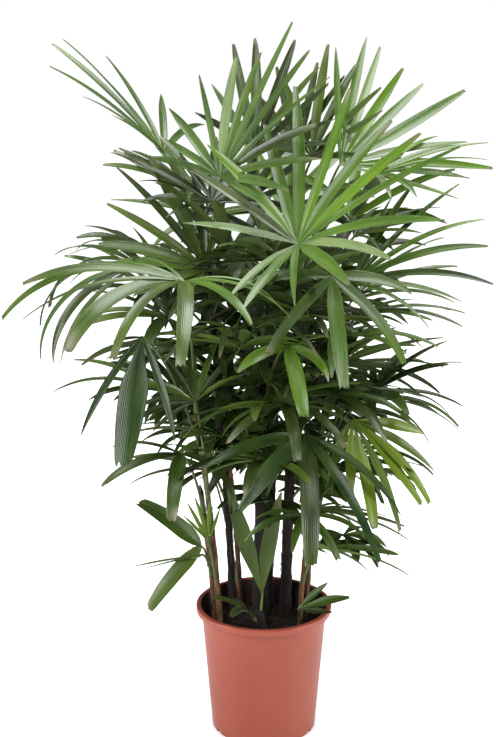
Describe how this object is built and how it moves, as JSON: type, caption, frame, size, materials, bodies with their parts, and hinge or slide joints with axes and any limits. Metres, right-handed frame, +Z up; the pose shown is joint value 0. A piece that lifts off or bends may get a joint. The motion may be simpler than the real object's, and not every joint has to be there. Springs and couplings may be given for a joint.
{
  "type": "potted lady palm",
  "caption": "Clump of slim fibre-clad canes with fan leaves cut into fingers, growing in a round terracotta-coloured plastic nursery pot.",
  "frame": {"origin": "centre of the pot's flat underside", "axes": "+Z up along the pot's axis, +X to the right and -Y towards the side that the leaves face"},
  "size_m": [0.8392, 0.9052, 1.238],
  "materials": {
    "pot": "satin terracotta-coloured plastic",
    "soil": "dark crumbly potting mix",
    "cane": "matt, clad in coarse brown fibre",
    "leaf": "semi-gloss green, paler underneath"
  },
  "bodies": {
    "root": {"pot": "pot", "soil": "soil", "cane_centre": "cane", "cane_left": "cane", "cane_right": "cane", "cane_left_front": "cane", "cane_left_low": "cane", "cane_right_front": "cane", "cane_back": "cane", "cane_back_left": "cane", "cane_right_low": "cane", "cane_stump": "cane", "leaf_front_fan": "leaf", "leaf_left_arch": "leaf", "leaf_top_centre": "leaf", "leaf_top_right": "leaf", "leaf_top_left": "leaf", "leaf_left_broad": "leaf", "leaf_front_broad": "leaf", "leaf_pale_right": "leaf", "leaf_far_left": "leaf", "leaf_top_back": "leaf", "leaf_left_upper": "leaf", "leaf_right_up": "leaf", "leaf_right_low": "leaf", "leaf_right_dark": "leaf", "leaf_right_mid": "leaf", "leaf_mid_left": "leaf", "leaf_low_left": "leaf", "leaf_left_dark": "leaf", "leaf_sucker_left": "leaf", "leaf_sucker_young": "leaf", "leaf_vee": "leaf", "leaf_hanger": "leaf", "leaf_front_stub": "leaf", "leaf_low_right": "leaf", "leaf_low_right_back": "leaf", "leaf_inner_upper": "leaf", "leaf_pale_fan": "leaf", "leaf_pot_side": "leaf", "leaf_pot_front": "leaf", "leaf_inner_front": "leaf", "leaf_inner_left": "leaf", "leaf_inner_right": "leaf", "leaf_back_1_1": "leaf", "leaf_back_1_2": "leaf", "leaf_back_1_3": "leaf", "leaf_back_2_1": "leaf", "leaf_back_2_2": "leaf", "leaf_back_2_3": "leaf", "leaf_back_2_4": "leaf", "leaf_back_3_1": "leaf", "leaf_back_3_2": "leaf", "leaf_back_3_3": "leaf", "leaf_back_3_4": "leaf", "leaf_back_4_1": "leaf", "leaf_back_4_2": "leaf", "leaf_back_4_3": "leaf"}
  },
  "joints": []
}
